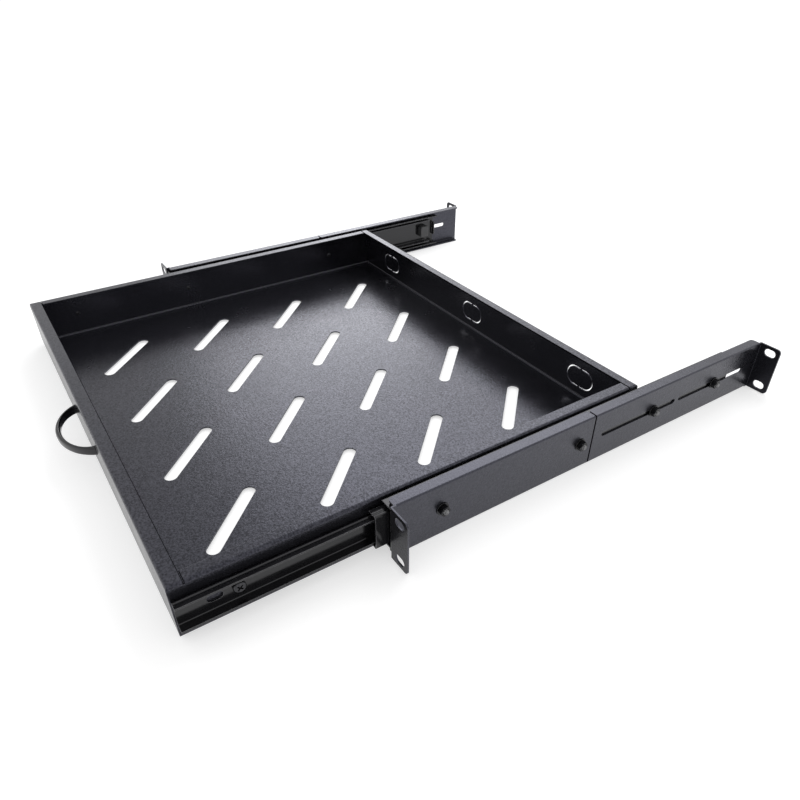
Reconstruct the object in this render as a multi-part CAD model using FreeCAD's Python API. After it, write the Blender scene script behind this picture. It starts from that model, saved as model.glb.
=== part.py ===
import FreeCAD, Part
import math
import os

os.makedirs("parts", exist_ok=True)

# Sliding rack drawer, one unit high: a folded steel tray on three-section ball-bearing slides,
# front and rear rack brackets, and a bow handle.
# X runs to the right seen from the front, Y to the rear and Z up. The origin is the centre of the
# front ears' hole pattern, on the ears' front face. The drawer stands part way out.

# ---- driving dimensions, in millimetres ----

# rack fixing
earHoleSpan = 465.0          # between the hole columns of the left and right ears
earTipMargin = 8.8           # from the hole column to the ear's tip
earHoleRise = 31.75          # between the two slots of one ear
earHeight = 44.0
earSlotLength = 10.2
earSlotWidth = 6.8
earCornerRadius = 3.5

# brackets
bracketInset = 10.0          # from the hole column to the outer face of the front bracket's web
bracketSheet = 1.2
bracketFlange = 8.7          # flange width, from the web's outer face to the free edge
bracketFold = 1.4            # outer radius of the folds
flangeSetback = 2.8          # the flanges stop this far short of the ear's outer face
flangeCornerRadius = 3.0
frontBracketLength = 179.3
bracketSeam = 0.4            # gap where the front and rear brackets meet
rearBracketLength = 204.7
bracketSlip = 0.1            # running gap beside the rear bracket's web
rearSlotLength = 85.2
rearSlotWidth = 4.5
rearSlotBridge = 4.3         # metal left between the two adjusting slots
rearSlotStart = 9.8          # from the rear bracket's front end

# slide, measured outward from the tray's side wall and from the slide's centre line
slideHeightAboveHoles = 1.2  # the slide's centre line over the ear holes' centre
slideDepth = 12.0
memberSheet = 1.2
memberFold = 2.0
outerHalfHeight = 17.8
middleHalfHeight = 14.1
innerHalfHeight = 10.4
outerLipEnd = 1.0
middleLipEnd = 1.6
middleWebOuterFace = 9.6
innerLipEnd = 7.2
outerLength = 344.0
outerFront = 1.0             # from the ears' front face
innerFrontOffset = 0.8       # from the tray's front face
stopGap = 0.4
stopTabHalfHeight = 8.0
stopTabReach = 5.5
bumperLength = 11.0
bumperHalfHeight = 6.5
bumperInnerFace = 1.8
bumperStudRadius = 2.0
bumperCorner = 1.5

# balls and their cages
ballRadius = 1.6
ballClearance = 0.07
ballsPerRow = 6
ballPitch = 18.0
cageEnd = 13.0               # from the last ball's centre to the cage's end
cageSheet = 0.8
cageWebSheet = 0.5
cageHoleClearance = 0.1
outerBallOffset = 6.2
innerBallOffset = 3.4
outerCageCentre = 172.0      # from the ears' front face, slide shut
innerCageCentre = 165.0
outerCageWebFace = 9.9
innerCageWebFace = 7.5
outerCageFlangeEnd = 3.4
innerCageFlangeEnd = 0.8

# tray
traySheet = 1.2
trayDepth = 375.0
trayHeight = 42.2
trayTopAboveSlide = 20.5     # the tray's top over the slide's centre line
trayFold = 2.2
sideFlange = 9.2
frontFlange = 10.0
rearFlange = 9.0
flangeJoint = 0.4
slotLength = 69.0
slotWidth = 10.0
slotAngle = -45.0
slotPitchX = 88.8
slotPitchY = 84.0
slotRows = 4
knockoutWidth = 30.4
knockoutHeight = 18.4
knockoutSlit = 1.1
knockoutTab = 1.6
knockoutPitch = 151.5
knockoutBelowCentre = 2.8

# handle
handleHalfSpan = 35.2
handleReach = 20.6
handleThickness = 3.9
handleFoot = 5.6
handleHeight = 7.0
handleRound = 1.0
handleScrewInset = 3.9       # from the handle's end to the screw's centre
handleScrewRadius = 1.25
handleScrewDepth = 3.0
handleScrewEndGap = 0.3
handleScrewHeadRadius = 2.5
handleScrewHeadHeight = 1.4

# screws, washers and nuts
screwRadius = 2.0
screwClearance = 0.2
threadClearance = 0.04
panHeadRadius = 4.1
panHeadHeight = 2.2
recessLength = 4.6
recessWidth = 0.9
recessDepth = 1.3
screwTip = 1.0
washerRadius = 5.0
washerThickness = 0.8
nutAcrossFlats = 7.0
nutHeight = 3.2
nutCrownSpread = 1.8          # the crown's cone stands this far outside the corners at the washer
nutCrownInset = 0.2           # and this far inside them at the nut's outer face
boltTip = 1.5
boltChamfer = 0.4
frontBoltSetback = 40.1      # the first front bolt, from the ears' front face
seamBoltMargin = 12.6        # the second front bolt, from the front bracket's rear end
rearBoltOffsets = (68.4, 145.2)           # from the rear bracket's front end
innerScrewPlaces = (38.5, 151.1, 321.3)   # from the tray's front face
innerSlotPlace = 24.0                     # from the tray's front face
innerSlotLength = 10.0
innerSlotWidth = 6.0

# how far the drawer stands out, and where it stops
trayFrontShut = -2.0
drawerOut = 133.3
middleOut = 10.0

# ---- sizes that follow ----
bracketSpan = earHoleSpan - 2 * bracketInset
trayWidth = bracketSpan - 2 * (bracketSheet + slideDepth)
wallX = trayWidth / 2
webInnerX = wallX + slideDepth
webOuterX = webInnerX + bracketSheet
earTop = earHeight / 2
earTip = earHoleSpan / 2 + earTipMargin
slideZ = slideHeightAboveHoles
trayTop = slideZ + trayTopAboveSlide
trayBottom = trayTop - trayHeight
trayFront = trayFrontShut - drawerOut
trayRear = trayFront + trayDepth
innerFront = trayFront + innerFrontOffset
innerFrontShut = trayFrontShut + innerFrontOffset
middleLength = outerLength - memberSheet - stopGap
middleFrontShut = outerFront
bumperRearShut = middleFrontShut + middleLength - memberSheet
bumperFrontShut = bumperRearShut - bumperLength
innerLength = bumperFrontShut - stopGap - innerFrontShut
outerBallZ = (outerHalfHeight - memberSheet + middleHalfHeight) / 2
innerBallZ = (middleHalfHeight - memberSheet + innerHalfHeight) / 2
cageLength = (ballsPerRow - 1) * ballPitch + 2 * cageEnd
rearBracketFront = frontBracketLength + bracketSeam
rearBracketRear = rearBracketFront + rearBracketLength
frontBoltPlaces = (frontBoltSetback, frontBracketLength - seamBoltMargin)
rearBoltPlaces = tuple(rearBracketFront + offset for offset in rearBoltOffsets)
frontBoltSeat = webOuterX
rearBoltSeat = webOuterX + 2 * bracketSlip

origin = FreeCAD.Vector(0, 0, 0)
alongX = FreeCAD.Vector(1, 0, 0)
alongY = FreeCAD.Vector(0, 1, 0)
alongZ = FreeCAD.Vector(0, 0, 1)


def vector(x, y, z):
    return FreeCAD.Vector(x, y, z)


def box(low, high):
    size = [b - a for a, b in zip(low, high)]
    return Part.makeBox(size[0], size[1], size[2], vector(*low))


def roundedOutline(corners):
    # Closed wire through the corners, each (point, radius), with the corner rounded by that radius.
    edges = []
    starts = []
    ends = []
    count = len(corners)
    for i in range(count):
        point, radius = corners[i]
        before = corners[i - 1][0] - point
        after = corners[(i + 1) % count][0] - point
        before.normalize()
        after.normalize()
        half = before.getAngle(after) / 2
        run = radius / math.tan(half)
        start = point + before * run
        end = point + after * run
        starts.append(start)
        ends.append(end)
        if radius > 0:
            middle = before + after
            middle.normalize()
            centre = point + middle * (radius / math.sin(half))
            edges.append(Part.Arc(start, centre - middle * radius, end).toShape())
    for i in range(count):
        a = ends[i]
        b = starts[(i + 1) % count]
        if a.distanceToPoint(b) > 1e-6:
            edges.append(Part.LineSegment(a, b).toShape())
    return Part.Wire(Part.__sortEdges__(edges))


def extruded(corners, travel):
    return Part.Face(roundedOutline(corners)).extrude(travel)


def obround(length, width, depth):
    # Slot-shaped block on the XY plane, centred on the origin, long side along X.
    x = length / 2
    y = width / 2
    r = y - 1e-4
    corners = [(vector(-x, -y, 0), r), (vector(x, -y, 0), r), (vector(x, y, 0), r), (vector(-x, y, 0), r)]
    return extruded(corners, vector(0, 0, depth))


def placed(shape, position, axis=alongZ, angle=0.0):
    turned = shape.copy()
    turned.Placement = FreeCAD.Placement(position, FreeCAD.Rotation(axis, angle)).multiply(turned.Placement)
    return turned


def standing(shape, position):
    # Turns a shape drawn flat on XY up into the XZ plane, its depth toward -Y.
    return placed(shape, position, alongX, 90)


def facingOut(shape, position):
    # Turns a shape drawn flat on XY into the YZ plane: its X runs along Y and its depth along +X.
    turn = FreeCAD.Rotation(alongY, alongZ, alongX, "ZXY")
    turned = shape.copy()
    turned.Placement = FreeCAD.Placement(position, turn)
    return turned


def mirrored(shape):
    return shape.mirror(origin, alongX)


def save(name, shape):
    shape.exportStep("parts/%s.step" % name)


def savePair(name, rightShape):
    save(name + "_right", rightShape)
    save(name + "_left", mirrored(rightShape))


def group(shapes):
    return Part.makeCompound(shapes)


def channel(webFace, lipEnd, halfHeight, sheet, fold, y0, y1, centreZ):
    # C-shaped member along Y. webFace is the web's outer face and lipEnd the lips' free edge, in X.
    inward = 1 if lipEnd > webFace else -1
    inside = webFace + inward * sheet
    high = centreZ + halfHeight
    low = centreZ - halfHeight
    innerFold = max(fold - sheet, 0.2)
    corners = [
        (vector(webFace, y0, low), fold),
        (vector(webFace, y0, high), fold),
        (vector(lipEnd, y0, high), 0),
        (vector(lipEnd, y0, high - sheet), 0),
        (vector(inside, y0, high - sheet), innerFold),
        (vector(inside, y0, low + sheet), innerFold),
        (vector(lipEnd, y0, low + sheet), 0),
        (vector(lipEnd, y0, low), 0),
    ]
    return extruded(corners, vector(0, y1 - y0, 0))


def rodX(x0, x1, y, z, radius):
    return Part.makeCylinder(radius, x1 - x0, vector(x0, y, z), alongX)


def rodY(x, y0, y1, z, radius):
    return Part.makeCylinder(radius, y1 - y0, vector(x, y0, z), alongY)


# ---- brackets ----

def earPlate(faceY, rearward):
    # L-shaped end of a bracket: the web's last stretch and the ear folded outward from it.
    # rearward is +1 where the web runs to +Y from the ear's face and -1 where it runs to -Y.
    inside = webInnerX if rearward > 0 else webInnerX + bracketSlip
    outside = inside + bracketSheet
    innerFold = bracketFold - bracketSheet
    back = faceY + rearward * bracketSheet
    end = faceY + rearward * (flangeSetback + bracketFold)
    low = -earTop
    corners = [
        (vector(inside, faceY, low), bracketFold),
        (vector(earTip, faceY, low), 0),
        (vector(earTip, back, low), 0),
        (vector(outside, back, low), innerFold),
        (vector(outside, end, low), 0),
        (vector(inside, end, low), 0),
    ]
    plate = extruded(corners, vector(0, 0, earHeight))
    y0 = min(faceY, end) - 1
    reach = abs(end - faceY) + 2
    r = earCornerRadius
    outline = [
        (vector(inside - 1, y0, -earTop), 0),
        (vector(earTip, y0, -earTop), r),
        (vector(earTip, y0, earTop), r),
        (vector(inside - 1, y0, earTop), 0),
    ]
    plate = plate.common(extruded(outline, vector(0, reach, 0)))
    cutter = obround(earSlotLength, earSlotWidth, 4 * bracketSheet)
    for side in (-1, 1):
        place = vector(earHoleSpan / 2, faceY + 2 * bracketSheet, side * earHoleRise / 2)
        plate = plate.cut(standing(cutter, place))
    return plate


def bracketChannel(webFace, y0, y1):
    # Web with top and bottom flanges folded inward, their free corners rounded.
    body = channel(webFace, webFace - bracketFlange, earTop, bracketSheet, bracketFold, y0, y1, 0)
    inner = webFace - bracketFlange
    z0 = -earTop - 1
    plan = [
        (vector(inner, y0, z0), flangeCornerRadius),
        (vector(inner, y1, z0), flangeCornerRadius),
        (vector(webFace + 1, y1, z0), 0),
        (vector(webFace + 1, y0, z0), 0),
    ]
    return body.common(extruded(plan, vector(0, 0, earHeight + 2)))


def frontBracket():
    body = bracketChannel(webOuterX, flangeSetback, frontBracketLength)
    body = body.fuse(earPlate(0, 1)).removeSplitter()
    for y in frontBoltPlaces:
        body = body.cut(rodX(webInnerX - 1, webOuterX + 1, y, slideZ, screwRadius + screwClearance))
    return body


def rearBracket():
    webFace = webOuterX + bracketSlip
    body = bracketChannel(webFace, rearBracketFront, rearBracketRear - flangeSetback)
    body = body.fuse(earPlate(rearBracketRear, -1)).removeSplitter()
    cutter = obround(rearSlotLength, rearSlotWidth, 3 * bracketSheet)
    for i in range(2):
        start = rearBracketFront + rearSlotStart + i * (rearSlotLength + rearSlotBridge)
        place = vector(webInnerX - bracketSheet, start + rearSlotLength / 2, slideZ)
        body = body.cut(facingOut(cutter, place))
    return body


# ---- slide members ----

def raceway(offset, height, y0, y1):
    # The two grooves that the balls roll in, above and below the slide's centre line.
    grooves = [rodY(wallX + offset, y0 - 1, y1 + 1, slideZ + side * height, ballRadius + ballClearance)
               for side in (-1, 1)]
    return group(grooves)


def countersink(y, clearance):
    # Cone of a flat screw head sunk into the outer member's web.
    shank = screwRadius + clearance
    seat = vector(webInnerX - memberSheet, y, slideZ)
    return Part.makeCone(shank + memberSheet, shank, memberSheet, seat, alongX)


def outerMember():
    y0 = outerFront
    y1 = outerFront + outerLength
    body = channel(webInnerX, wallX + outerLipEnd, outerHalfHeight, memberSheet, memberFold, y0, y1, slideZ)
    body = body.cut(raceway(outerBallOffset, outerBallZ, y0, y1))
    tab = box((webInnerX - stopTabReach, y1 - memberSheet, slideZ - stopTabHalfHeight),
              (webInnerX - memberSheet, y1, slideZ + stopTabHalfHeight))
    body = body.fuse(tab)
    for y in frontBoltPlaces + rearBoltPlaces:
        body = body.cut(countersink(y, threadClearance))
    return body


def middleMember():
    y0 = middleFrontShut - middleOut
    y1 = y0 + middleLength
    webFace = wallX + middleWebOuterFace
    body = channel(webFace, wallX + middleLipEnd, middleHalfHeight, memberSheet, memberFold, y0, y1, slideZ)
    body = body.cut(raceway(outerBallOffset, outerBallZ, y0, y1))
    body = body.cut(raceway(innerBallOffset, innerBallZ, y0, y1))
    studY = bumperRearShut - bumperLength / 2 - middleOut
    studHole = bumperStudRadius + threadClearance
    return body.cut(rodX(webFace - 2 * memberSheet, webFace + 1, studY, slideZ, studHole))


def innerMember():
    y0 = innerFront
    y1 = innerFront + innerLength
    body = channel(wallX, wallX + innerLipEnd, innerHalfHeight, memberSheet, memberFold, y0, y1, slideZ)
    body = body.cut(raceway(innerBallOffset, innerBallZ, y0, y1))
    for place in innerScrewPlaces:
        y = trayFront + place
        body = body.cut(rodX(wallX - 1, wallX + 2 * memberSheet, y, slideZ, screwRadius + screwClearance))
    cutter = obround(innerSlotLength, innerSlotWidth, 3 * memberSheet)
    return body.cut(facingOut(cutter, vector(wallX - memberSheet, trayFront + innerSlotPlace, slideZ)))


def bumper():
    # Plastic block in the rear end of the middle member, with a stud through its web.
    y1 = bumperRearShut - middleOut
    y0 = y1 - bumperLength
    webInside = wallX + middleWebOuterFace - memberSheet
    low = slideZ - bumperHalfHeight
    high = slideZ + bumperHalfHeight
    x = wallX + bumperInnerFace
    places = ((y0, low), (y0, high), (y1, high), (y1, low))
    corners = [(vector(x, y, z), bumperCorner) for y, z in places]
    block = extruded(corners, vector(webInside - x, 0, 0))
    stud = rodX(webInside, wallX + middleWebOuterFace, (y0 + y1) / 2, slideZ, bumperStudRadius)
    return block.fuse(stud)


# ---- balls and cages ----

def ballPlaces(centreY):
    first = centreY - (ballsPerRow - 1) * ballPitch / 2
    return [first + i * ballPitch for i in range(ballsPerRow)]


def cage(webFace, flangeEnd, ballOffset, ballHeight, centreY):
    # Strip folded around the member inside it; each flange holds one row of balls.
    y0 = centreY - cageLength / 2
    x0 = wallX + webFace
    x1 = x0 + cageWebSheet
    end = wallX + flangeEnd
    high = ballHeight + cageSheet / 2
    low = ballHeight - cageSheet / 2
    corners = [
        (vector(x1, y0, slideZ - high), cageWebSheet),
        (vector(x1, y0, slideZ + high), cageWebSheet),
        (vector(end, y0, slideZ + high), 0),
        (vector(end, y0, slideZ + low), 0),
        (vector(x0, y0, slideZ + low), 0),
        (vector(x0, y0, slideZ - low), 0),
        (vector(end, y0, slideZ - low), 0),
        (vector(end, y0, slideZ - high), 0),
    ]
    body = extruded(corners, vector(0, cageLength, 0))
    holes = [Part.makeCylinder(ballRadius + cageHoleClearance, 3 * high,
                               vector(wallX + ballOffset, y, slideZ - 1.5 * high), alongZ)
             for y in ballPlaces(centreY)]
    return body.cut(group(holes))


def balls(ballOffset, ballHeight, centreY):
    return group([Part.makeSphere(ballRadius, vector(wallX + ballOffset, y, slideZ + side * ballHeight))
                  for side in (-1, 1) for y in ballPlaces(centreY)])


# ---- tray ----

def roundedBlock(inset, fold):
    # Block with the tray's folds rounded along all four sides, drawn in from the outer faces by inset.
    x = wallX - inset
    y0 = trayFront + inset
    y1 = trayRear - inset
    z0 = trayBottom + inset
    z1 = trayTop - inset
    across = [(vector(-x, y0, z0), fold), (vector(x, y0, z0), fold),
              (vector(x, y0, z1), fold), (vector(-x, y0, z1), fold)]
    along = [(vector(-x, y0, z0), fold), (vector(-x, y1, z0), fold),
             (vector(-x, y1, z1), fold), (vector(-x, y0, z1), fold)]
    return extruded(across, vector(0, y1 - y0, 0)).common(extruded(along, vector(2 * x, 0, 0)))


def floorSlots():
    cutter = obround(slotLength, slotWidth, 3 * traySheet)
    centreY = (trayFront + trayRear) / 2
    cuts = []
    for i in range(slotRows):
        for j in range(slotRows):
            x = (i - (slotRows - 1) / 2) * slotPitchX
            y = centreY + (j - (slotRows - 1) / 2) * slotPitchY
            cuts.append(placed(cutter, vector(x, y, trayBottom - traySheet), alongZ, slotAngle))
    return group(cuts)


def knockoutRing(x):
    # Slit around a cable knockout in the rear wall, bridged by a tab above and below.
    z = slideZ - knockoutBelowCentre
    depth = 3 * traySheet
    place = vector(x, trayRear + traySheet, z)
    ring = obround(knockoutWidth, knockoutHeight, depth)
    ring = ring.cut(obround(knockoutWidth - 2 * knockoutSlit, knockoutHeight - 2 * knockoutSlit, depth))
    tab = Part.makeBox(knockoutTab, 2 * knockoutHeight, depth, vector(-knockoutTab / 2, -knockoutHeight, 0))
    return standing(ring.cut(tab), place)


def flangeJoints():
    # Fine gaps where the side flanges butt against the front and rear flanges.
    cuts = []
    for side in (-1, 1):
        for y in (trayFront + frontFlange, trayRear - rearFlange - flangeJoint):
            x0, x1 = sorted((side * (wallX - sideFlange - 1), side * (wallX + 1)))
            cuts.append(box((x0, y, trayTop - trayFold), (x1, y + flangeJoint, trayTop + 1)))
    return group(cuts)


def endPanelSpace(outerY, wallY, flangeY):
    # Space of an end panel: its wall with the lower fold, and its top flange.
    spaces = []
    for innerY, z0 in ((wallY, trayBottom), (flangeY, trayTop - trayFold)):
        y0, y1 = sorted((outerY, innerY))
        spaces.append(box((-wallX, y0, z0), (wallX, y1, trayTop)))
    return spaces[0].fuse(spaces[1])


def foldedTray():
    body = roundedBlock(0, trayFold).cut(roundedBlock(traySheet, trayFold - traySheet))
    mouth = box((sideFlange - wallX, trayFront + frontFlange, slideZ),
                (wallX - sideFlange, trayRear - rearFlange, trayTop + 1))
    body = body.cut(mouth).cut(flangeJoints()).cut(floorSlots())
    for i in (-1, 0, 1):
        body = body.cut(knockoutRing(i * knockoutPitch))
    for place in innerScrewPlaces:
        for x in (-wallX - 1, wallX - 2 * traySheet):
            hole = rodX(x, x + 3 * traySheet, trayFront + place, slideZ, screwRadius + threadClearance)
            body = body.cut(hole)
    holeRadius = handleScrewRadius + screwClearance
    for side in (-1, 1):
        x = side * handleScrewX()
        body = body.cut(rodY(x, trayFront - 1, trayFront + 2 * traySheet, slideZ, holeRadius))
    return body


# ---- handle ----

def handleScrewX():
    return handleHalfSpan - handleScrewInset


def handle():
    # Bow with a circular outer edge and an elliptical inner edge, its feet flat on the front wall.
    z0 = slideZ - handleHeight / 2
    innerSpan = handleHalfSpan - handleFoot
    outerEnds = [vector(side * handleHalfSpan, trayFront, z0) for side in (-1, 1)]
    innerEnds = [vector(side * innerSpan, trayFront, z0) for side in (-1, 1)]
    ellipse = Part.Ellipse(vector(0, trayFront, z0), innerSpan, handleReach - handleThickness)
    edges = [
        Part.Arc(outerEnds[0], vector(0, trayFront - handleReach, z0), outerEnds[1]).toShape(),
        Part.ArcOfEllipse(ellipse, math.pi, 2 * math.pi).toShape(),
        Part.LineSegment(outerEnds[0], innerEnds[0]).toShape(),
        Part.LineSegment(innerEnds[1], outerEnds[1]).toShape(),
    ]
    bow = Part.Face(Part.Wire(Part.__sortEdges__(edges))).extrude(vector(0, 0, handleHeight))
    curved = [edge for edge in bow.Edges if not isinstance(edge.Curve, Part.Line)]
    bow = bow.makeFillet(handleRound, curved)
    holeFront = trayFront - handleScrewDepth - handleScrewEndGap
    holeRadius = handleScrewRadius + threadClearance
    for side in (-1, 1):
        x = side * handleScrewX()
        bow = bow.cut(rodY(x, holeFront, trayFront + 1, slideZ, holeRadius))
    return bow


# ---- fasteners ----

def crossRecess(x, y, z, axis):
    # Cross-shaped driver recess cut into a head whose top is at the given point.
    half = recessLength / 2
    thin = recessWidth / 2
    if axis == "x":
        return group([box((x - recessDepth, y - half, z - thin), (x + 1, y + half, z + thin)),
                      box((x - recessDepth, y - thin, z - half), (x + 1, y + thin, z + half))])
    return group([box((x - half, y - recessDepth, z - thin), (x + half, y + 1, z + thin)),
                  box((x - thin, y - recessDepth, z - half), (x + thin, y + 1, z + half))])


def roundEdgesBeyond(shape, axis, distance):
    # Circular edges whose centres lie further along the axis than the given distance.
    circles = [edge for edge in shape.Edges if isinstance(edge.Curve, Part.Circle)]
    return [edge for edge in circles if edge.CenterOfMass.dot(axis) > distance]


def slideScrew(y):
    # Pan-head screw that holds the inner member to the tray's side wall.
    seat = wallX + memberSheet
    head = rodX(seat, seat + panHeadHeight, y, slideZ, panHeadRadius)
    head = head.makeFillet(panHeadHeight / 2, roundEdgesBeyond(head, alongX, seat + 1))
    shank = rodX(wallX - traySheet - screwTip, seat, y, slideZ, screwRadius)
    return head.fuse(shank).cut(crossRecess(seat + panHeadHeight, y, slideZ, "x"))


def handleScrew(x):
    seat = trayFront + traySheet
    top = seat + handleScrewHeadHeight
    head = rodY(x, seat, top, slideZ, handleScrewHeadRadius)
    head = head.makeFillet(handleScrewHeadHeight / 2, roundEdgesBeyond(head, alongY, seat + 1))
    shank = rodY(x, trayFront - handleScrewDepth, seat, slideZ, handleScrewRadius)
    return head.fuse(shank).cut(crossRecess(x, top, slideZ, "y"))


def bracketBolt(y, seat):
    # Flat-head bolt from inside the outer member, out through the bracket.
    end = seat + washerThickness + nutHeight + boltTip
    shank = rodX(webInnerX, end, y, slideZ, screwRadius)
    return shank.makeChamfer(boltChamfer, roundEdgesBeyond(shank, alongX, seat + 1)).fuse(countersink(y, 0))


def washer(y, seat):
    disc = rodX(seat, seat + washerThickness, y, slideZ, washerRadius)
    return disc.cut(rodX(seat - 1, seat + 2, y, slideZ, screwRadius + screwClearance))


def nut(y, seat):
    x0 = seat + washerThickness
    corner = nutAcrossFlats / math.sqrt(3)
    turns = [math.pi * i / 3 for i in range(7)]
    points = [vector(x0, y + corner * math.cos(turn), slideZ + corner * math.sin(turn)) for turn in turns]
    hexagon = Part.Face(Part.makePolygon(points)).extrude(vector(nutHeight, 0, 0))
    seat = vector(x0, y, slideZ)
    crown = Part.makeCone(corner + nutCrownSpread, corner - nutCrownInset, nutHeight, seat, alongX)
    bore = rodX(x0 - 1, x0 + nutHeight + 1, y, slideZ, screwRadius + threadClearance)
    return hexagon.common(crown).cut(bore)


def bothSides(makeOne, places, seat):
    right = [makeOne(y, seat) for y in places]
    return group(right + [mirrored(shape) for shape in right])


# ---- write every sub-part ----

outerCageY = outerCageCentre - middleOut / 2
innerCageY = innerCageCentre - middleOut - (drawerOut - middleOut) / 2
outerCage = cage(outerCageWebFace, outerCageFlangeEnd, outerBallOffset, outerBallZ, outerCageY)
innerCage = cage(innerCageWebFace, innerCageFlangeEnd, innerBallOffset, innerBallZ, innerCageY)

savePair("front_bracket", frontBracket())
savePair("rear_bracket", rearBracket())
savePair("outer_slide_member", outerMember())
savePair("middle_slide_member", middleMember())
savePair("inner_slide_member", innerMember())
savePair("closing_bumper", bumper())
savePair("outer_ball_cage", outerCage)
savePair("inner_ball_cage", innerCage)
savePair("outer_balls", balls(outerBallOffset, outerBallZ, outerCageY))
savePair("inner_balls", balls(innerBallOffset, innerBallZ, innerCageY))
savePair("slide_screws", group([slideScrew(trayFront + place) for place in innerScrewPlaces]))
wholeTray = foldedTray()
frontSpace = endPanelSpace(trayFront, trayFront + trayFold, trayFront + frontFlange)
rearSpace = endPanelSpace(trayRear, trayRear - trayFold, trayRear - rearFlange)
save("tray_base", wholeTray.cut(frontSpace).cut(rearSpace))
save("tray_front_panel", wholeTray.common(frontSpace))
save("tray_rear_panel", wholeTray.common(rearSpace))
save("bow_handle", handle())
save("handle_screws", group([handleScrew(side * handleScrewX()) for side in (-1, 1)]))
save("front_bracket_bolts", bothSides(bracketBolt, frontBoltPlaces, frontBoltSeat))
save("front_bracket_washers", bothSides(washer, frontBoltPlaces, frontBoltSeat))
save("front_bracket_nuts", bothSides(nut, frontBoltPlaces, frontBoltSeat))
save("rear_bracket_bolts", bothSides(bracketBolt, rearBoltPlaces, rearBoltSeat))
save("rear_bracket_washers", bothSides(washer, rearBoltPlaces, rearBoltSeat))
save("rear_bracket_nuts", bothSides(nut, rearBoltPlaces, rearBoltSeat))
print("drawer width", trayWidth, "inner member length", innerLength)
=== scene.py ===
import math
import bpy
import numpy as np
from mathutils import Matrix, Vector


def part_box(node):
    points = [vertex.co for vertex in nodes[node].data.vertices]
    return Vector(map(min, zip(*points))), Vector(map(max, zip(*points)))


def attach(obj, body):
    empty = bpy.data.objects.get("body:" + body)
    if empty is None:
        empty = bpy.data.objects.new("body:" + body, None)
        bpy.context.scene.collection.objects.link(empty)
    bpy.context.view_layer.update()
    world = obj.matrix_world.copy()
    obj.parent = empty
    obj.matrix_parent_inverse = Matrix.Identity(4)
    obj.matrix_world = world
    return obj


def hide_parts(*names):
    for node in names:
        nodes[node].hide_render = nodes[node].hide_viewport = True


# A one-unit rack drawer: powder-coated folded steel on ball-bearing slides.
# Everything is in metres: +X right seen from the front, -Y the way the drawer pulls, +Z up.

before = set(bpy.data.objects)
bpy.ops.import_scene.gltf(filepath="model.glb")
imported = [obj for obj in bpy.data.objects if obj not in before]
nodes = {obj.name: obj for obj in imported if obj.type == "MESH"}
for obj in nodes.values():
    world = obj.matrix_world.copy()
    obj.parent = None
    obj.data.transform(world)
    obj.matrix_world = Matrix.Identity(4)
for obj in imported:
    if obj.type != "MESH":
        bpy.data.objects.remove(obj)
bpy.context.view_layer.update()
print("frame loaded:", len(nodes), "nodes")


# Shader building blocks

def addNode(tree, kind, inputs=None, **settings):
    node = tree.nodes.new(kind)
    for key, value in settings.items():
        setattr(node, key, value)
    for key, value in (inputs or {}).items():
        node.inputs[key].default_value = value
    return node


def join(tree, source, target):
    tree.links.new(source, target)


def arithmetic(tree, operation, first, second=0.0):
    # One math node; either side may be a number or another node's output.
    node = addNode(tree, "ShaderNodeMath", operation=operation)
    for index, value in enumerate((first, second)):
        if isinstance(value, (int, float)):
            node.inputs[index].default_value = value
        else:
            join(tree, value, node.inputs[index])
    return node.outputs[0]


def remap(tree, value, source, target=(0.0, 1.0)):
    limits = dict(enumerate((*source, *target), start=1))
    node = addNode(tree, "ShaderNodeMapRange", limits, clamp=True)
    join(tree, value, node.inputs[0])
    return node.outputs[0]


def between(tree, value, limits):
    # 1 where the value lies between two limits, and 0 elsewhere.
    low, high = limits
    return arithmetic(tree, "MULTIPLY", arithmetic(tree, "GREATER_THAN", value, low),
                      arithmetic(tree, "LESS_THAN", value, high))


def axes(tree, vector):
    parts = addNode(tree, "ShaderNodeSeparateXYZ")
    join(tree, vector, parts.inputs[0])
    return parts.outputs


def blendColours(tree, amount, first, second):
    node = addNode(tree, "ShaderNodeMix", data_type="RGBA")
    for socket, value in ((node.inputs[0], amount), (node.inputs[6], first), (node.inputs[7], second)):
        if isinstance(value, (int, float)):
            socket.default_value = value
        elif isinstance(value, tuple):
            socket.default_value = (*value, 1)
        else:
            join(tree, value, socket)
    return node.outputs[2]


def newGroup(name, numbers, outputs):
    # A node group that takes a vector and the named numbers.
    group = bpy.data.node_groups.new(name, "ShaderNodeTree")
    group.interface.new_socket("Vector", in_out="INPUT", socket_type="NodeSocketVector")
    for label in numbers:
        group.interface.new_socket(label, in_out="INPUT", socket_type="NodeSocketFloat")
    for label in outputs:
        kind = "NodeSocketVector" if label == "Normal" else "NodeSocketFloat"
        group.interface.new_socket(label, in_out="OUTPUT", socket_type=kind)
    return group, group.nodes.new("NodeGroupInput"), group.nodes.new("NodeGroupOutput")


def groupNoise(group, given, scale, detail, roughness):
    texture = addNode(group, "ShaderNodeTexNoise", {"Detail": detail, "Roughness": roughness})
    join(group, given.outputs["Vector"], texture.inputs["Vector"])
    join(group, given.outputs[scale], texture.inputs["Scale"])
    return texture.outputs["Fac"]


# Each noise is given as (detail, roughness).
coatGrainShape = {"grit": (2.0, 0.6), "peel": (1.0, 0.4), "mottle": (4.0, 0.65), "gritShare": 0.55,
                  "peelShare": 0.45, "mottleRange": (0.3, 0.7), "speckRange": (0.35, 0.65)}
edgeWearAndHighlightShape = {"samples": 6, "cosines": (0.97, 0.75), "patch": (3.0, 0.5), "patchRange": (0.35, 0.6)}
metalGrainShape = {"line": (3.0, 0.7), "stain": (4.0, 0.6), "stainRange": (0.3, 0.7)}


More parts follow.
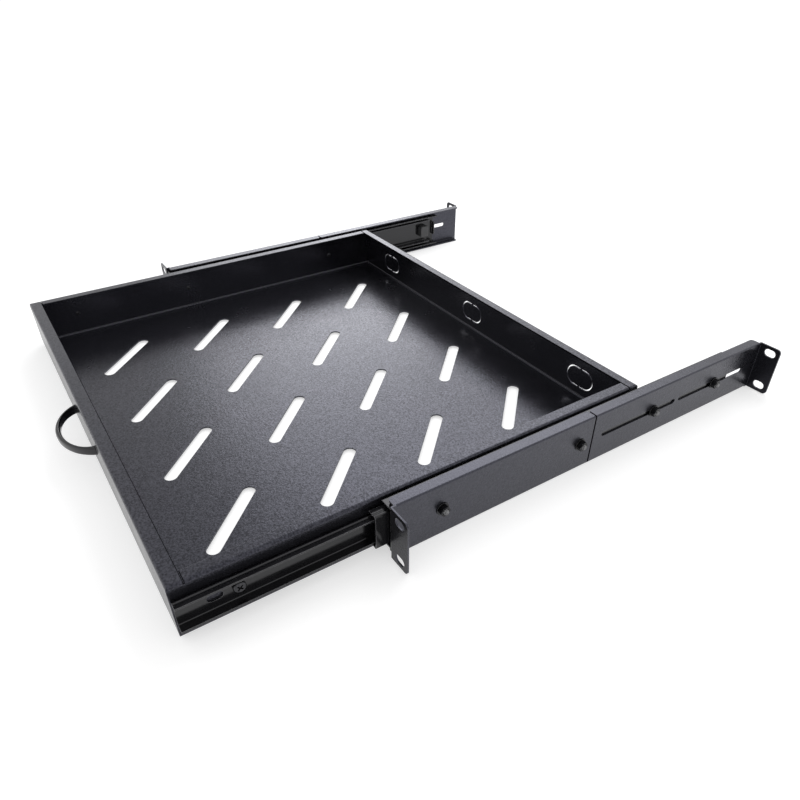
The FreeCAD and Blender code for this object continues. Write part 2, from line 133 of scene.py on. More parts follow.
def buildCoatGrain():
    # Powder coat: fine grit over a softer orange peel, and a slow mottle.
    values = coatGrainShape
    group, given, result = newGroup("Coat grain", ("Grit Scale", "Peel Scale", "Mottle Scale"),
                                    ("Height", "Mottle", "Speck"))
    grit = groupNoise(group, given, "Grit Scale", *values["grit"])
    peel = groupNoise(group, given, "Peel Scale", *values["peel"])
    mottle = groupNoise(group, given, "Mottle Scale", *values["mottle"])
    gritPart = arithmetic(group, "MULTIPLY", grit, values["gritShare"])
    peelPart = arithmetic(group, "MULTIPLY", peel, values["peelShare"])
    join(group, arithmetic(group, "ADD", gritPart, peelPart), result.inputs["Height"])
    join(group, remap(group, mottle, values["mottleRange"]), result.inputs["Mottle"])
    join(group, remap(group, grit, values["speckRange"]), result.inputs["Speck"])
    return group


def buildEdgeWearAndHighlight():
    # Where a rounded-off normal leaves the face's own, there is an edge; noise breaks it up. The mask
    # lightens these edges, partly as wear and partly as a painted highlight.
    values = edgeWearAndHighlightShape
    group, given, result = newGroup("Edge wear", ("Radius", "Patch Scale", "Patchiness"), ("Mask", "Normal"))
    bevel = addNode(group, "ShaderNodeBevel", samples=values["samples"])
    join(group, given.outputs["Radius"], bevel.inputs["Radius"])
    geometry = addNode(group, "ShaderNodeNewGeometry")
    dot = addNode(group, "ShaderNodeVectorMath", operation="DOT_PRODUCT")
    join(group, bevel.outputs["Normal"], dot.inputs[0])
    join(group, geometry.outputs["Normal"], dot.inputs[1])
    edge = remap(group, dot.outputs["Value"], values["cosines"])
    patch = groupNoise(group, given, "Patch Scale", *values["patch"])
    whole = arithmetic(group, "SUBTRACT", 1.0, remap(group, patch, values["patchRange"]))
    lost = arithmetic(group, "MULTIPLY", given.outputs["Patchiness"], whole)
    kept = arithmetic(group, "SUBTRACT", 1.0, lost)
    join(group, arithmetic(group, "MULTIPLY", edge, kept), result.inputs["Mask"])
    join(group, bevel.outputs["Normal"], result.inputs["Normal"])
    return group


def buildMetalGrain():
    # Drawn or turned steel: fine noise, stretched by the Mapping node that feeds it, and faint stains.
    values = metalGrainShape
    group, given, result = newGroup("Metal grain", ("Line Scale", "Stain Scale"), ("Height", "Stain"))
    line = groupNoise(group, given, "Line Scale", *values["line"])
    stain = groupNoise(group, given, "Stain Scale", *values["stain"])
    join(group, line, result.inputs["Height"])
    join(group, remap(group, stain, values["stainRange"]), result.inputs["Stain"])
    return group


coatGrain = buildCoatGrain()
edgeWearAndHighlight = buildEdgeWearAndHighlight()
metalGrain = buildMetalGrain()


def placeGroup(tree, group, vector, **values):
    node = addNode(tree, "ShaderNodeGroup")
    node.node_tree = group
    for label, value in values.items():
        node.inputs[label.replace("_", " ")].default_value = value
    join(tree, vector, node.inputs["Vector"])
    return node


def newMaterial(name):
    material = bpy.data.materials.new(name)
    material.use_nodes = True
    tree = material.node_tree
    shader = tree.nodes["Principled BSDF"]
    coordinates = addNode(tree, "ShaderNodeTexCoord")
    return material, tree, shader, coordinates.outputs["Object"]


def relief(tree, shader, height, values):
    bump = addNode(tree, "ShaderNodeBump", {"Strength": values["bump"], "Distance": values["bumpDepth"]})
    join(tree, height, bump.inputs["Height"])
    join(tree, bump.outputs["Normal"], shader.inputs["Normal"])
    return bump


def awayFrom(tree, vector, values):
    # 0 within a short distance of the lines across Y, on the part between two heights, and 1 elsewhere.
    parts = axes(tree, vector)
    lines = None
    for line in values["lines"]:
        near = addNode(tree, "ShaderNodeMath", {1: line, 2: values["halfWidth"]}, operation="COMPARE")
        join(tree, parts["Y"], near.inputs[0])
        lines = near.outputs[0] if lines is None else arithmetic(tree, "MAXIMUM", lines, near.outputs[0])
    band = arithmetic(tree, "MULTIPLY", lines, between(tree, parts["Z"], values["heights"]))
    return arithmetic(tree, "SUBTRACT", 1.0, band)


def footHighlightStrip(tree, vector, values):
    # 1 on the strip of the side and rear walls' inner faces just above the floor's fold, and 0 elsewhere,
    # where a painted highlight goes.
    parts = axes(tree, vector)
    side = between(tree, arithmetic(tree, "ABSOLUTE", parts["X"]), values["side"])
    strips = arithmetic(tree, "MAXIMUM", side, between(tree, parts["Y"], values["rear"]))
    return arithmetic(tree, "MULTIPLY", strips, between(tree, parts["Z"], values["heights"]))


endCosines = (0.7, 0.95)


def paintedEndShade(tree, sheen):
    # Painted shade: faces turned along Y get less sheen than the rest, so they render darker.
    geometry = addNode(tree, "ShaderNodeNewGeometry")
    along = arithmetic(tree, "ABSOLUTE", axes(tree, geometry.outputs["True Normal"])["Y"])
    return remap(tree, along, endCosines, (1.0, sheen))


def paintedMetal(name, values):
    # Coated sheet steel: dark colour under a grained film, lighter along the cut edges, partly worn thin and
    # partly a painted highlight.
    # Flush seams hide the joints between the tray's parts; the seams that show get painted shade in their
    # narrow gaps.
    material, tree, shader, vector = newMaterial(name)
    grain = placeGroup(tree, coatGrain, vector, Grit_Scale=values["gritScale"],
                       Peel_Scale=values["peelScale"], Mottle_Scale=values["mottleScale"])
    wear = placeGroup(tree, edgeWearAndHighlight, vector, Radius=values["edgeRadius"],
                      Patch_Scale=values["patchScale"], Patchiness=values["patchiness"])
    mask = wear.outputs["Mask"]
    normal = wear.outputs["Normal"]
    if "flushSeams" in values:
        keep = awayFrom(tree, vector, values["flushSeams"])
        mask = arithmetic(tree, "MULTIPLY", mask, keep)
        flat = addNode(tree, "ShaderNodeNewGeometry")
        mix = addNode(tree, "ShaderNodeMix", data_type="VECTOR")
        join(tree, keep, mix.inputs[0])
        join(tree, flat.outputs["Normal"], mix.inputs[4])
        join(tree, normal, mix.inputs[5])
        normal = mix.outputs[1]
    coat = blendColours(tree, grain.outputs["Mottle"], values["darkColour"], values["lightColour"])
    # Edges lighten towards the edge colour: part wear, part painted highlight.
    edge = arithmetic(tree, "MULTIPLY", mask, values["wear"])
    # A painted highlight along the inner fold at the foot of the tray's walls.
    if "foot" in values:
        paintedFoldHighlight = arithmetic(tree, "MULTIPLY", footHighlightStrip(tree, vector, values["foot"]), values["foot"]["highlightStrength"])
        edge = arithmetic(tree, "MAXIMUM", edge, paintedFoldHighlight)
    sheen = remap(tree, grain.outputs["Speck"], (0.0, 1.0), values["sheen"])
    # Painted shade along the seams' narrow gaps: no edge lightening and no reflection there.
    if "shadedSeams" in values:
        clear = awayFrom(tree, vector, values["shadedSeams"])
        edge = arithmetic(tree, "MULTIPLY", edge, clear)
        sheen = arithmetic(tree, "MULTIPLY", sheen, clear)
    # Painted shade on the faces turned along Y.
    if "endShadeSheen" in values:
        sheen = arithmetic(tree, "MULTIPLY", sheen, paintedEndShade(tree, values["endShadeSheen"]))
    join(tree, blendColours(tree, edge, coat, values["edgeColour"]), shader.inputs["Base Color"])
    roughness = remap(tree, grain.outputs["Mottle"], (0.0, 1.0), values["roughness"])
    join(tree, roughness, shader.inputs["Roughness"])
    join(tree, sheen, shader.inputs["Specular IOR Level"])
    shader.inputs["Specular Tint"].default_value = (*values["tint"], 1)
    shader.inputs["IOR"].default_value = values["ior"]
    join(tree, normal, relief(tree, shader, grain.outputs["Height"], values).inputs["Normal"])
    return material


def bareMetal(name, values):
    # Zinc-plated or polished steel with drawing lines along one axis.
    material, tree, shader, vector = newMaterial(name)
    mapping = addNode(tree, "ShaderNodeMapping", {"Scale": values["stretch"]})
    join(tree, vector, mapping.inputs["Vector"])
    grain = placeGroup(tree, metalGrain, mapping.outputs["Vector"], Line_Scale=values["lineScale"],
                       Stain_Scale=values["stainScale"])
    colour = blendColours(tree, grain.outputs["Stain"], values["darkColour"], values["lightColour"])
    join(tree, colour, shader.inputs["Base Color"])
    roughness = remap(tree, grain.outputs["Stain"], (0.0, 1.0), values["roughness"])
    join(tree, roughness, shader.inputs["Roughness"])
    shader.inputs["Metallic"].default_value = values["metallic"]
    relief(tree, shader, grain.outputs["Height"], values)
    return material


# In the coats, edgeColour and wear set the lightening of the edges: part wear, part painted highlight.
bracketCoat = {"darkColour": (0.0045, 0.0045, 0.0055), "lightColour": (0.0075, 0.0075, 0.009),
               "edgeColour": (0.26, 0.26, 0.28), "wear": 0.7, "edgeRadius": 0.00045, "patchScale": 90.0,
               "patchiness": 0.35, "gritScale": 820.0, "peelScale": 420.0, "mottleScale": 45.0,
               "roughness": (0.24, 0.31), "ior": 1.66, "tint": (0.8, 0.81, 1.0), "sheen": (0.42, 0.58),
               # endShadeSheen: painted shade on faces turned along Y, which reflect less.
               "bump": 0.75, "bumpDepth": 0.00024, "endShadeSheen": 0.3,
               # shadedSeams: painted shade along the narrow gaps at the joints.
               "shadedSeams": {"lines": (0.1795,), "halfWidth": 0.0007, "heights": (-0.03, 0.03)}}
trayCoat = {**bracketCoat, "wear": 0.6, "mottleScale": 30.0, "roughness": (0.22, 0.28), "ior": 1.55,
            "gritScale": 860.0, "sheen": (0.26, 0.74), "bump": 0.6, "bumpDepth": 0.00028, "endShadeSheen": 0.8,
            "flushSeams": {"lines": (-0.1331, 0.2375), "halfWidth": 0.0012, "heights": (-0.03, 0.019)},
            "shadedSeams": {"lines": (-0.1251, 0.2305), "halfWidth": 0.0006, "heights": (0.0195, 0.03)},
            # foot: a painted highlight along the walls' inner folds.
            "foot": {"side": (0.2072, 0.2086), "rear": (0.2376, 0.2389), "heights": (-0.0186, -0.0171),
                     "highlightStrength": 0.25}}
slideCoat = {"darkColour": (0.004, 0.004, 0.0045), "lightColour": (0.007, 0.007, 0.008),
             "edgeColour": (0.36, 0.36, 0.38), "wear": 0.8, "edgeRadius": 0.0004, "patchScale": 120.0,
             "patchiness": 0.3, "gritScale": 2600.0, "peelScale": 900.0, "mottleScale": 60.0,
             "roughness": (0.13, 0.2), "ior": 1.5, "bump": 0.25, "bumpDepth": 0.00003,
             "tint": (0.97, 0.97, 1.0), "sheen": (0.46, 0.54)}
handleGloss = {"darkColour": (0.004, 0.004, 0.0045), "lightColour": (0.006, 0.006, 0.007),
               "edgeColour": (0.03, 0.03, 0.033), "wear": 0.3, "edgeRadius": 0.0003, "patchScale": 150.0,
               "patchiness": 0.6, "gritScale": 900.0, "peelScale": 260.0, "mottleScale": 60.0,
               "roughness": (0.07, 0.12), "ior": 1.5, "bump": 0.12, "bumpDepth": 0.00003,
               "tint": (0.97, 0.97, 1.0), "sheen": (0.48, 0.52)}
bumperPlastic = {"darkColour": (0.04, 0.04, 0.042), "lightColour": (0.06, 0.06, 0.063),
                 "edgeColour": (0.16, 0.16, 0.165), "wear": 0.3, "edgeRadius": 0.0003, "patchScale": 200.0,
                 "patchiness": 0.5, "gritScale": 2200.0, "peelScale": 700.0, "mottleScale": 150.0,
                 "roughness": (0.42, 0.52), "ior": 1.47, "bump": 0.3, "bumpDepth": 0.00004,
                 "tint": (1.0, 1.0, 1.0), "sheen": (0.4, 0.5)}
cageZinc = {"darkColour": (0.36, 0.36, 0.37), "lightColour": (0.48, 0.48, 0.49), "stretch": (1, 0.08, 1),
            "lineScale": 1800.0, "stainScale": 140.0, "roughness": (0.28, 0.4), "metallic": 1.0,
            "bump": 0.2, "bumpDepth": 0.00003}
ballPolish = {"darkColour": (0.7, 0.7, 0.71), "lightColour": (0.78, 0.78, 0.79), "stretch": (1, 1, 1),
              "lineScale": 3000.0, "stainScale": 400.0, "roughness": (0.06, 0.12), "metallic": 1.0,
              "bump": 0.05, "bumpDepth": 0.00001}
screwBlack = {"darkColour": (0.03, 0.03, 0.033), "lightColour": (0.075, 0.075, 0.08), "stretch": (1, 1, 1),
              "lineScale": 2400.0, "stainScale": 700.0, "roughness": (0.2, 0.3), "metallic": 1.0,
              "bump": 0.3, "bumpDepth": 0.00003}
boltBlack = {"darkColour": (0.08, 0.08, 0.084), "lightColour": (0.22, 0.22, 0.225), "stretch": (1, 1, 1),
             "lineScale": 2400.0, "stainScale": 600.0, "roughness": (0.16, 0.26), "metallic": 1.0,
             "bump": 0.3, "bumpDepth": 0.00003}
nutBlack = {"darkColour": (0.02, 0.02, 0.022), "lightColour": (0.05, 0.05, 0.053), "stretch": (1, 1, 1),
            "lineScale": 2400.0, "stainScale": 500.0, "roughness": (0.2, 0.3), "metallic": 1.0,
            "bump": 0.3, "bumpDepth": 0.00003}

finishes = {
    "bracket_powder_coat": paintedMetal("Bracket powder coat", bracketCoat),
    "tray_powder_coat": paintedMetal("Tray powder coat", trayCoat),
    "slide_black_coat": paintedMetal("Slide black coat", slideCoat),
    "handle_black_gloss": paintedMetal("Handle gloss black", handleGloss),
    "bumper_plastic": paintedMetal("Bumper plastic", bumperPlastic),
    "cage_steel": bareMetal("Cage zinc", cageZinc),
    "ball_steel": bareMetal("Ball polish", ballPolish),
    "black_screw_steel": bareMetal("Screw black zinc", screwBlack),
    "bolt_steel": bareMetal("Bolt black zinc", boltBlack),
    "black_nut_steel": bareMetal("Nut black zinc", nutBlack),
}

for piece in nodes.values():
    for place in piece.material_slots:
        place.material = finishes[place.material.name]
print("finishes on", len(nodes), "nodes")


# Fasteners with real threads, crowned nuts and driver recesses

sharpAngle = 32.0
thread = {"rows": 9, "endDepth": 0.35, "root": 1.15, "flank": 1.3}
crossRecess = {"armSlope": 0.25, "endSlope": 0.35, "topBand": 0.00001}


def gridFaces(rows, columns, ring=False):
    # Quads of a grid that closes on itself across its columns, and along its rows where it is a ring.
    row, column = np.meshgrid(np.arange(rows if ring else rows - 1), np.arange(columns), indexing="ij")
    below = (row + 1) % rows
    after = (column + 1) % columns
    quads = np.stack([row * columns + column, row * columns + after,
                      below * columns + after, below * columns + column], axis=-1)
    return quads.reshape(-1, 4)


def capFaces(firstIndex, columns, pole, reverse=False):
    # Fan of triangles from one row of a grid to a single pole point.
    column = np.arange(columns)
    after = (column + 1) % columns
    edge = (after, column) if reverse else (column, after)
    return np.stack([firstIndex + edge[0], firstIndex + edge[1], np.full(columns, pole)], axis=-1)


def closedGrid(points, startPole, endPole):
    # Grid of rows and columns closed at both ends by a pole point.
    rows, columns = points.shape[:2]
    count = rows * columns
    vertices = np.concatenate([points.reshape(-1, 3), [startPole], [endPole]])
    faces = gridFaces(rows, columns).tolist()
    faces += capFaces(0, columns, count, reverse=True).tolist()
    faces += capFaces(count - columns, columns, count + 1).tolist()
    return vertices, faces


def addSurface(name, points, faces, slotName, body, replaced):
    mesh = bpy.data.meshes.new(name)
    mesh.from_pydata(points.tolist(), [], faces)
    mesh.polygons.foreach_set("use_smooth", np.ones(len(mesh.polygons), dtype=bool))
    mesh.set_sharp_from_angle(angle=math.radians(sharpAngle))
    mesh.materials.append(finishes[slotName])
    piece = bpy.data.objects.new(name, mesh)
    bpy.context.scene.collection.objects.link(piece)
    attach(piece, body)
    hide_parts(replaced)


def turned(profile, columns, shape=None, ring=False):
    # Surface of revolution about the axis: each row of the profile gives (distance along, radius),
    # and shape(along, radius, turn) may change both, as a thread or a driver recess does.
    # The ends close in poles on the axis, or the profile closes on itself where it is a ring.
    profile = np.asarray(profile, dtype=float)
    turn = np.linspace(0, 2 * np.pi, columns, endpoint=False)
    along = np.repeat(profile[:, :1], columns, axis=1)
    radius = np.repeat(profile[:, 1:2], columns, axis=1)
    turn = np.repeat(turn[None, :], len(profile), axis=0)
    if shape is not None:
        along, radius = shape(along, radius, turn)
    points = np.stack([along, radius * np.cos(turn), radius * np.sin(turn)], axis=-1)
    if ring:
        return points.reshape(-1, 3), gridFaces(len(profile), columns, ring=True).tolist()
    poles = [np.array([row.mean(), 0.0, 0.0]) for row in (along[0], along[-1])]
    return closedGrid(points, *poles)


def threaded(radius, turn, along, start, end, pitch, depth):
    # Helical V-thread: the radius drops by the depth between crests, and the crest climbs one pitch a turn.
    phase = (along / pitch - turn / (2 * np.pi)) % 1.0
    valley = np.abs(2 * phase - 1)
    fade = np.clip(np.minimum(along - start, end - along) / pitch + thread["endDepth"], 0, 1)
    return radius - depth * fade * np.clip(thread["root"] - thread["flank"] * valley, 0, 1)


def recessed(along, radius, turn, top, length, width, depth):
    # Cross recess: the top sinks inside two crossed bars, with sloping walls.
    across = np.abs(radius * np.cos(turn + np.pi / 4))
    up = np.abs(radius * np.sin(turn + np.pi / 4))
    arm = np.minimum(across, up)
    reach = np.maximum(across, up)
    withinArm = np.clip((width / 2 - arm) / (crossRecess["armSlope"] * width), 0, 1)
    withinEnd = np.clip((length / 2 - reach) / (crossRecess["endSlope"] * width), 0, 1)
    onTop = np.abs(along - top) < crossRecess["topBand"]
    return np.where(onTop, along + depth * (withinArm * withinEnd), along)


def flipped(faces):
    return [face[::-1] for face in faces]


def placed(points, faces, y, side):
    # Stand a turned piece along X at a place; side -1 mirrors it, so its faces are wound the other way.
    moved = points * np.array([side, 1, 1]) + np.array([0, y, slideLevel])
    return moved, faces if side > 0 else flipped(faces)


def merged(parts):
    points, faces, start = [], [], 0
    for somePoints, someFaces in parts:
        points.append(somePoints)
        faces += [[index + start for index in face] for face in someFaces]
        start += len(somePoints)
    return np.concatenate(points), faces


slideLevel = 0.0012
bracketFace = 0.2225
bolts = {"radius": 0.002, "head": 0.0032, "sheet": 0.0012, "tip": 0.0015, "chamfer": 0.0004,
         "pitch": 0.0007, "threadDepth": 0.00038, "recess": (0.0042, 0.0009, 0.0010), "columns": 40,
         "hub": 0.0001, "headRows": 22, "coneRows": (0.06, 0.5, 1.0), "neck": 0.00005, "step": 0.00001,
         "pointRadii": (0.0014, 0.0005)}
washers = {"radius": 0.005, "bore": 0.0022, "thickness": 0.0008, "round": 0.00018, "columns": 48}
nuts = {"flats": 0.007, "bore": 0.00204, "height": 0.0032, "spread": 0.0018, "inset": 0.0002,
        "boreChamfer": 0.0004, "columns": 72, "rows": 12, "rowInset": 0.0001, "faceShare": 0.8,
        "outerFrom": 0.0039}
panScrews = {"radius": 0.002, "head": 0.0041, "headHeight": 0.0022, "tip": 0.001, "wall": 0.0024,
             "pitch": 0.0007, "threadDepth": 0.00035, "recess": (0.0046, 0.0009, 0.0013), "columns": 56,
             "seat": 0.2105, "places": (0.0385, 0.1511, 0.3213), "hub": 0.0001, "headRows": 24,
             "domeStart": 0.2, "domeRows": 8, "rimStep": 0.00002, "neck": 0.00005, "step": 0.00001,
             "threadEnd": 0.0002, "shankEnd": 0.0003, "pointInset": 0.00035, "pointRadii": (0.0008, 0.0003)}
boltRows = {"front": (0.0401, 0.1667, bracketFace), "rear": (0.2481, 0.3249, bracketFace + 0.0002)}


def boltSurface(seat):
    # Flat countersunk head with a cross recess, then a threaded shank out past the nut.
    values = bolts
    headFace = bracketFace - 2 * values["sheet"]
    end = seat + washers["thickness"] + nuts["height"] + values["tip"]
    top = [(headFace, r) for r in np.linspace(values["hub"], values["head"], values["headRows"])]
    cone = [(headFace + values["sheet"] * share, values["head"] - values["sheet"] * share)
            for share in values["coneRows"]]
    start = headFace + values["sheet"]
    stop = end - values["chamfer"]
    rows = np.arange(start + values["neck"], stop, values["pitch"] / thread["rows"])
    shank = [(x, values["radius"]) for x in rows]
    point = [(end - values["step"], values["radius"] - values["chamfer"])]
    point += [(end, r) for r in values["pointRadii"]]

    def shape(along, radius, turn):
        screw = (along > start) & (along < stop)
        pitch = values["pitch"]
        cut = threaded(radius, turn, along, start, end + pitch, pitch, values["threadDepth"])
        radius = np.where(screw, cut, radius)
        length, width, depth = values["recess"]
        return recessed(along, radius, turn, headFace, length, width, depth), radius

    return turned(top + cone + shank + point, values["columns"], shape)


def panScrewSurface():
    # Low domed head with a cross recess, over a threaded shank whose tip stands inside the tray.
    values = panScrews
    seat = values["seat"]
    top = seat + values["headHeight"]
    half = values["headHeight"] / 2
    end = seat - values["wall"] - values["tip"]
    face = [(top, r) for r in np.linspace(values["hub"], values["head"] - half, values["headRows"])]
    dome = [(top - half + half * math.cos(a), values["head"] - half + half * math.sin(a))
            for a in np.linspace(values["domeStart"], math.pi / 2, values["domeRows"])]
    under = [(seat + values["rimStep"], values["head"]), (seat, values["head"] - values["neck"]),
             (seat, values["radius"])]
    rows = np.arange(seat - values["neck"], end + values["shankEnd"], -values["pitch"] / thread["rows"])
    shank = [(x, values["radius"]) for x in rows]
    point = [(end + values["step"], values["radius"] - values["pointInset"])]
    point += [(end, r) for r in values["pointRadii"]]

    def shape(along, radius, turn):
        pitch = values["pitch"]
        cut = threaded(radius, turn, along, end - pitch, seat, pitch, values["threadDepth"])
        radius = np.where((along < seat) & (along > end + values["threadEnd"]), cut, radius)
        length, width, depth = values["recess"]
        return recessed(along, radius, turn, top, length, width, -depth), radius

    points, faces = turned(face + dome + under + shank + point, values["columns"], shape)
    return points, flipped(faces)


def washerSurface(seat):
    # Flat ring with slightly rounded edges.
    values = washers
    x0, x1, soft = seat, seat + values["thickness"], values["round"]
    profile = [(x0, values["bore"]), (x0, values["radius"] - soft), (x0 + soft, values["radius"]),
               (x1 - soft, values["radius"]), (x1, values["radius"] - soft), (x1, values["bore"] + soft),
               (x1 - soft, values["bore"])]
    return turned(profile, values["columns"], ring=True)


def nutSurface(seat):
    # Hexagon cut by a crowning cone: at each angle the radius is the smaller of the two.
    values = nuts
    x0 = seat + washers["thickness"]
    x1 = x0 + values["height"]
    corner = values["flats"] / math.sqrt(3)
    inset = values["rowInset"]
    levels = np.concatenate([[x0], np.linspace(x0 + inset, x1 - inset, values["rows"]), [x1]])
    side = [(x, corner) for x in levels]
    faceEdge = corner * values["faceShare"]
    face = [(x1, faceEdge), (x1, values["bore"] + values["boreChamfer"]),
            (x1 - values["boreChamfer"], values["bore"]), (x0, values["bore"]), (x0, faceEdge)]

    def shape(along, radius, turn):
        sector = (turn + np.pi / 6) % (np.pi / 3) - np.pi / 6
        hexagon = values["flats"] / 2 / np.cos(np.pi / 6 - np.abs(sector))
        fall = values["spread"] + values["inset"]
        crown = corner + values["spread"] - fall * (along - x0) / values["height"]
        outer = np.minimum(hexagon, crown)
        return along, np.where(radius > values["outerFrom"], outer, np.minimum(radius, outer))

    return turned(side + face, values["columns"], shape, ring=True)


fastenerKinds = (("Bolts", boltSurface, "bolt_steel"), ("Washers", washerSurface, "black_nut_steel"),
                 ("Nuts", nutSurface, "black_nut_steel"))
for end, (firstY, secondY, seat) in boltRows.items():
    for kind, surface, slotName in fastenerKinds:
        one = surface(seat)
        points, faces = merged([placed(*one, y, side) for side in (1, -1) for y in (firstY, secondY)])
        addSurface(end + "Bracket" + kind, points, faces, slotName, "rack_side",
                   end + "_bracket_" + kind.lower())

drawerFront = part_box("tray_front_panel")[0][1]
screwPlaces = [drawerFront + place for place in panScrews["places"]]
for sideName, side in (("right", 1), ("left", -1)):
    one = panScrewSurface()
    points, faces = merged([placed(*one, y, side) for y in screwPlaces])
    addSurface("slideScrews" + sideName.title(), points, faces, "black_screw_steel", "drawer",
               "slide_screws_" + sideName)
print("threaded fasteners made")


# Bow handle with a full, rounded section

handle = {"halfSpan": 0.0352, "reach": 0.0206, "thickness": 0.0039, "foot": 0.0056, "height": 0.007,
          "level": slideLevel, "fullness": 2.7, "sections": 121, "around": 48, "ellipseSteps": 6001}


def handleSurface():
    # Sections stand between the circle of the outer edge and the nearest points of the inner ellipse;
    # each is a superellipse, |across|^n + |up|^n = 1, whose half width is half that distance.
    values = handle
    span, reach = values["halfSpan"], values["reach"]
    radius = (span ** 2 + reach ** 2) / (2 * reach)
    inset = radius - reach
    turn = np.linspace(-1, 1, values["sections"]) * math.asin(span / radius)
    outer = np.stack([radius * np.sin(turn), inset - radius * np.cos(turn)], axis=-1)
    sweep = np.linspace(-np.pi / 2, np.pi / 2, values["ellipseSteps"])
    inner = np.stack([(span - values["foot"]) * np.sin(sweep),
                      -(reach - values["thickness"]) * np.cos(sweep)], axis=-1)
    gaps = np.linalg.norm(outer[:, None, :] - inner[None, :, :], axis=-1)
    inner = inner[np.argmin(gaps, axis=1)]
    centre = (outer + inner) / 2
    across = (outer - inner) / 2
    angle = np.linspace(0, 2 * np.pi, values["around"], endpoint=False)
    power = 2 / values["fullness"]
    wide = np.sign(np.cos(angle)) * np.abs(np.cos(angle)) ** power
    tall = np.sign(np.sin(angle)) * np.abs(np.sin(angle)) ** power * values["height"] / 2
    plan = centre[:, None, :] + across[:, None, :] * wide[None, :, None]
    points = np.concatenate([plan, np.broadcast_to(tall[None, :, None], (*plan.shape[:2], 1))], axis=-1)
    points = points + np.array([0, drawerFront, values["level"]])
    ends = [points[row].mean(axis=0) for row in (0, -1)]
    points, faces = closedGrid(points, *ends)
    return points, flipped(faces)


points, faces = handleSurface()
addSurface("bowHandle", points, faces, "handle_black_gloss", "drawer", "bow_handle")
print("handle made")


# Floor, lights and camera

studio = {"floorLevel": -0.0222, "floorSize": 60.0, "floorGlow": 0.54, "floorColour": 0.84,
          "floorThin": 0.62, "skyDiffuse": 0.85, "lampAim": (0.0, 0.05, 0.0),
          "lampColour": (0.97, 0.975, 1.0)}
softboxes = {
    "rearSoftbox": {"place": (-0.764, 0.899, 1.028), "size": (1.8, 0.886), "twist": -31.3, "power": 11.5},
    "sideStrip": {"place": (-1.3646, 0.6576, 0.5734), "size": (0.74, 0.4), "twist": 0.0, "power": 1.6},
}
view = {"eye": (0.47727, -0.15764, 0.30082), "azimuth": 56.0, "elevation": 36.96, "roll": 0.4146,
        "lens": 29.80, "shift": (-0.0130, 0.0484), "sensor": 36.0, "clip": (0.01, 50.0)}


def splitBySight(tree, lit, seen, outputKind):
    # Rays that come to the background straight, mirrored or through glass get one shader, and those that
    # light the object get the other.
    rays = addNode(tree, "ShaderNodeLightPath")
    mix = addNode(tree, "ShaderNodeMixShader")
    output = addNode(tree, outputKind)
    through = arithmetic(tree, "MAXIMUM", rays.outputs["Is Camera Ray"], rays.outputs["Is Transmission Ray"])
    visible = arithmetic(tree, "MAXIMUM", through, rays.outputs["Is Glossy Ray"])
    for source, target in zip((visible, lit.outputs[0], seen.outputs[0]), mix.inputs):
        join(tree, source, target)
    join(tree, mix.outputs[0], output.inputs["Surface"])


def buildFloor():
    # White paper: what is seen of it, straight, mirrored or through, also glows, so that it stays white right
    # up to the horizon, and thin paper over the glow keeps the object's shadow.
    half = studio["floorSize"] / 2
    level = studio["floorLevel"]
    mesh = bpy.data.meshes.new("floor")
    corners = [(-half, -half, level), (half, -half, level), (half, half, level), (-half, half, level)]
    mesh.from_pydata(corners, [], [(0, 1, 2, 3)])
    floor = bpy.data.objects.new("floor", mesh)
    bpy.context.scene.collection.objects.link(floor)
    material = bpy.data.materials.new("Studio floor")
    material.use_nodes = True
    tree = material.node_tree
    tree.nodes.clear()
    glow = addNode(tree, "ShaderNodeEmission", {"Color": (1, 1, 1, 1), "Strength": studio["floorGlow"]})
    thin = addNode(tree, "ShaderNodeBsdfDiffuse", {"Color": (*[studio["floorThin"]] * 3, 1)})
    full = addNode(tree, "ShaderNodeBsdfDiffuse", {"Color": (*[studio["floorColour"]] * 3, 1)})
    seen = addNode(tree, "ShaderNodeAddShader")
    join(tree, glow.outputs[0], seen.inputs[0])
    join(tree, thin.outputs[0], seen.inputs[1])
    splitBySight(tree, full, seen, "ShaderNodeOutputMaterial")
    mesh.materials.append(material)


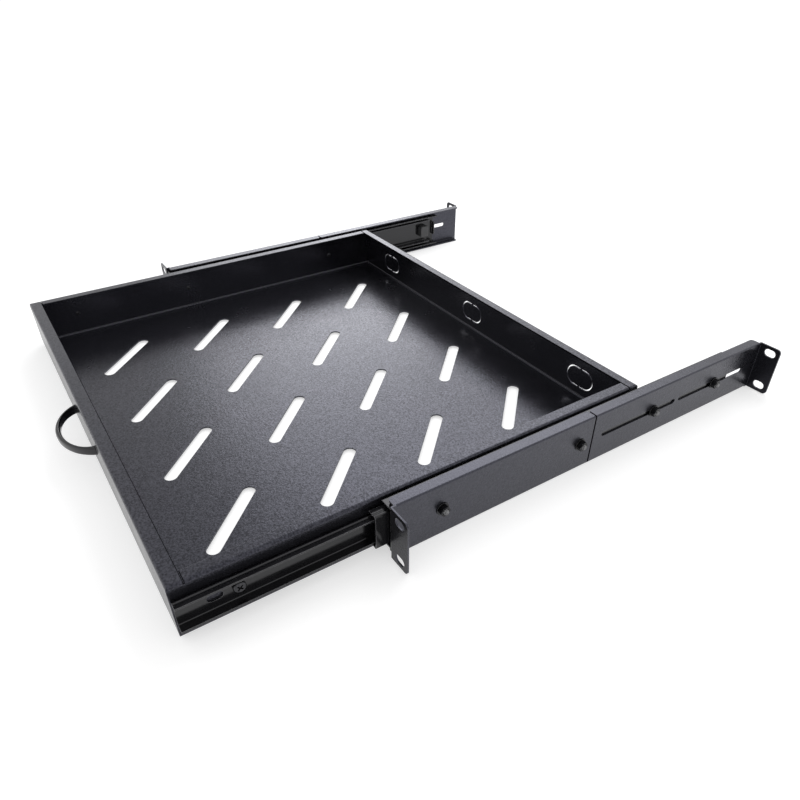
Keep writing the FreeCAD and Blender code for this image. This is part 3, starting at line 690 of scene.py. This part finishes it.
def buildSky():
    # White behind everything that is seen, and a plain even light on the object.
    world = bpy.data.worlds.new("Studio")
    bpy.context.scene.world = world
    world.use_nodes = True
    tree = world.node_tree
    tree.nodes.clear()
    seen = addNode(tree, "ShaderNodeBackground", {"Color": (1, 1, 1, 1), "Strength": 1.0})
    lit = addNode(tree, "ShaderNodeBackground", {"Color": (1, 1, 1, 1), "Strength": studio["skyDiffuse"]})
    splitBySight(tree, lit, seen, "ShaderNodeOutputWorld")


def buildSoftboxes():
    for name, values in softboxes.items():
        lamp = bpy.data.lights.new(name, "AREA")
        lamp.shape = "RECTANGLE"
        lamp.size, lamp.size_y = values["size"]
        lamp.energy = values["power"]
        lamp.color = studio["lampColour"]
        box = bpy.data.objects.new(name, lamp)
        bpy.context.scene.collection.objects.link(box)
        place = np.array(values["place"])
        back = place - np.array(studio["lampAim"])
        back = back / np.linalg.norm(back)
        level = np.cross((0, 0, 1), back)
        level = level / np.linalg.norm(level)
        upright = np.cross(back, level)
        twist = math.radians(values["twist"])
        across = level * math.cos(twist) + upright * math.sin(twist)
        up = upright * math.cos(twist) - level * math.sin(twist)
        matrix = Matrix.Identity(4)
        for row in range(3):
            matrix[row][:] = across[row], up[row], back[row], place[row]
        box.matrix_world = matrix


def buildCamera():
    data = bpy.data.cameras.new("camera")
    data.sensor_width = view["sensor"]
    data.lens = view["lens"]
    data.shift_x, data.shift_y = view["shift"]
    data.clip_start, data.clip_end = view["clip"]
    camera = bpy.data.objects.new("camera", data)
    bpy.context.scene.collection.objects.link(camera)
    turn = Matrix.Rotation(math.radians(view["azimuth"]), 4, "Z")
    turn = turn @ Matrix.Rotation(math.radians(90 - view["elevation"]), 4, "X")
    turn = turn @ Matrix.Rotation(math.radians(view["roll"]), 4, "Z")
    camera.matrix_world = Matrix.Translation(view["eye"]) @ turn
    bpy.context.scene.camera = camera


buildFloor()
buildSky()
buildSoftboxes()
buildCamera()
bpy.context.scene.view_settings.view_transform = "Standard"
print("studio ready")
